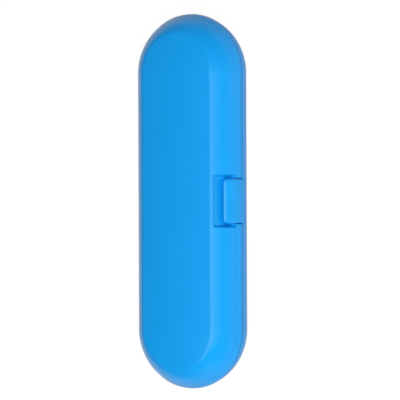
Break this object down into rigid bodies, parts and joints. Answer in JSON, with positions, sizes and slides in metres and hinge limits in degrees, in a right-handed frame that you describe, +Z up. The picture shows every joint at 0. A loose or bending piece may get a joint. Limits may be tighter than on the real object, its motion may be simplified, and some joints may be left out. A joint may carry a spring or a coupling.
{
  "type": "electric toothbrush travel case",
  "caption": "Pill-shaped hinged travel case for an electric toothbrush, with a bowed snap latch in a finger pocket and a moulded tray for handle and heads.",
  "frame": {"origin": "centre of the case's plan box, on the flat that the case rests on", "axes": "+X along the case's length, +Y towards the hinge side, -Y towards the latch, +Z up through the lid"},
  "size_m": [0.21, 0.0692, 0.0358],
  "materials": {
    "shell_blue": "semi-gloss",
    "tray_pale": "matte",
    "pin_steel": "satin"
  },
  "bodies": {
    "base": {"base_shell": "shell_blue", "inner_tray": "tray_pale", "latch_pin": "pin_steel", "hinge_pins": "pin_steel"},
    "lid": {"lid_shell": "shell_blue"},
    "latch": {"latch_clip": "shell_blue"}
  },
  "joints": [
    {"name": "lid_hinge", "type": "hinge", "parent": "base", "child": "lid", "pos_m": [0, 0.0326, 0.0176], "axis": [-1, 0, 0], "range_deg": [0, 175]},
    {"name": "latch_pivot", "type": "hinge", "parent": "base", "child": "latch", "pos_m": [0, -0.03302, 0.0153], "axis": [1, 0, 0], "range_deg": [0, 60]}
  ]
}
